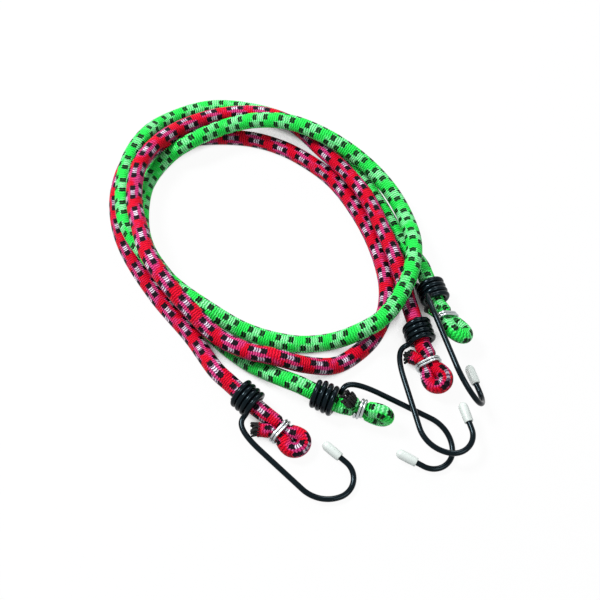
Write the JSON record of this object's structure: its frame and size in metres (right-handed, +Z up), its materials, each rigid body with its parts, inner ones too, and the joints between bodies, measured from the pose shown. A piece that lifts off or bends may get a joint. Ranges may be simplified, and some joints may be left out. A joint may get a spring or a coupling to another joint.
{
  "type": "bungee cord",
  "caption": "Elastic luggage cords with braided covers, lying coiled together; each end is folded back, clipped and carries a swivelling wire hook with a plastic tip.",
  "frame": {"origin": "on the floor, under the middle of the part's box", "axes": "+Z up from the floor; the hooks' ends lie towards -Y and +X, the loops towards +Y"},
  "size_m": [0.2032, 0.2518, 0.0283],
  "materials": {
    "red_braid": "red braided cover with black and white tracer dashes",
    "green_braid": "green braided cover with black and white tracer dashes",
    "rubber_core": "dark rubber strands",
    "clip_wire": "bright plain wire",
    "hook_wire": "glossy black plastic coat over steel wire",
    "hook_tip": "milky white soft plastic"
  },
  "bodies": {
    "cords": {"red_cover_main": "red_braid", "red_core_main": "rubber_core", "red_cover_stretch_1": "red_braid", "red_core_stretch_1": "rubber_core", "red_cover_stretch_2": "red_braid", "red_core_stretch_2": "rubber_core", "green_cover_main": "green_braid", "green_core_main": "rubber_core", "green_cover_stretch_1": "green_braid", "green_core_stretch_1": "rubber_core", "green_cover_stretch_2": "green_braid", "green_core_stretch_2": "rubber_core"},
    "red_end_1": {"red_cover_fold_1": "red_braid", "red_core_fold_1": "rubber_core", "red_clip_1": "clip_wire"},
    "red_hook_1": {"red_hook_1": "hook_wire", "red_hook_tip_1": "hook_tip"},
    "red_end_2": {"red_cover_fold_2": "red_braid", "red_core_fold_2": "rubber_core", "red_clip_2": "clip_wire"},
    "red_hook_2": {"red_hook_2": "hook_wire", "red_hook_tip_2": "hook_tip"},
    "green_end_1": {"green_cover_fold_1": "green_braid", "green_core_fold_1": "rubber_core", "green_clip_1": "clip_wire"},
    "green_hook_1": {"green_hook_1": "hook_wire", "green_hook_tip_1": "hook_tip"},
    "green_end_2": {"green_cover_fold_2": "green_braid", "green_core_fold_2": "rubber_core", "green_clip_2": "clip_wire"},
    "green_hook_2": {"green_hook_2": "hook_wire", "green_hook_tip_2": "hook_tip"}
  },
  "joints": [
    {"name": "red_end_1_stretch", "type": "slide", "parent": "cords", "child": "red_end_1", "axis": [0.7373, -0.6756, 0], "range_m": [0, 0.05], "stiffness_N_per_m": 150, "deforming": ["red_cover_stretch_1", "red_core_stretch_1"]},
    {"name": "red_hook_1_swivel", "type": "hinge", "parent": "red_end_1", "child": "red_hook_1", "pos_m": [-0.01965, -0.07391, 0.0086], "axis": [0.7339, -0.6725, -0.0958], "range_deg": [-170, 170]},
    {"name": "red_end_2_stretch", "type": "slide", "parent": "cords", "child": "red_end_2", "axis": [0.2183, -0.9454, 0.2419], "range_m": [0, 0.045], "stiffness_N_per_m": 150, "deforming": ["red_cover_stretch_2", "red_core_stretch_2"]},
    {"name": "red_hook_2_swivel", "type": "hinge", "parent": "red_end_2", "child": "red_hook_2", "pos_m": [0.06965, -0.03621, 0.0086], "axis": [0.2249, -0.9741, 0.0227], "range_deg": [-35, 3]},
    {"name": "green_end_1_stretch", "type": "slide", "parent": "cords", "child": "green_end_1", "axis": [0.809, -0.5878, 0], "range_m": [0, 0.008], "stiffness_N_per_m": 150, "deforming": ["green_cover_stretch_1", "green_core_stretch_1"]},
    {"name": "green_hook_1_swivel", "type": "hinge", "parent": "green_end_1", "child": "green_hook_1", "pos_m": [0.02035, -0.07341, 0.0086], "axis": [0.8947, -0.4364, -0.0958], "range_deg": [-20, 2]},
    {"name": "green_end_2_stretch", "type": "slide", "parent": "cords", "child": "green_end_2", "axis": [0.4669, -0.8781, 0.1045], "range_m": [0, 0.045], "stiffness_N_per_m": 150, "deforming": ["green_cover_stretch_2", "green_core_stretch_2"]},
    {"name": "green_hook_2_swivel", "type": "hinge", "parent": "green_end_2", "child": "green_hook_2", "pos_m": [0.07835, -0.01141, 0.009], "axis": [0.2754, -0.9603, 0.0436], "range_deg": [-45, 5]}
  ]
}
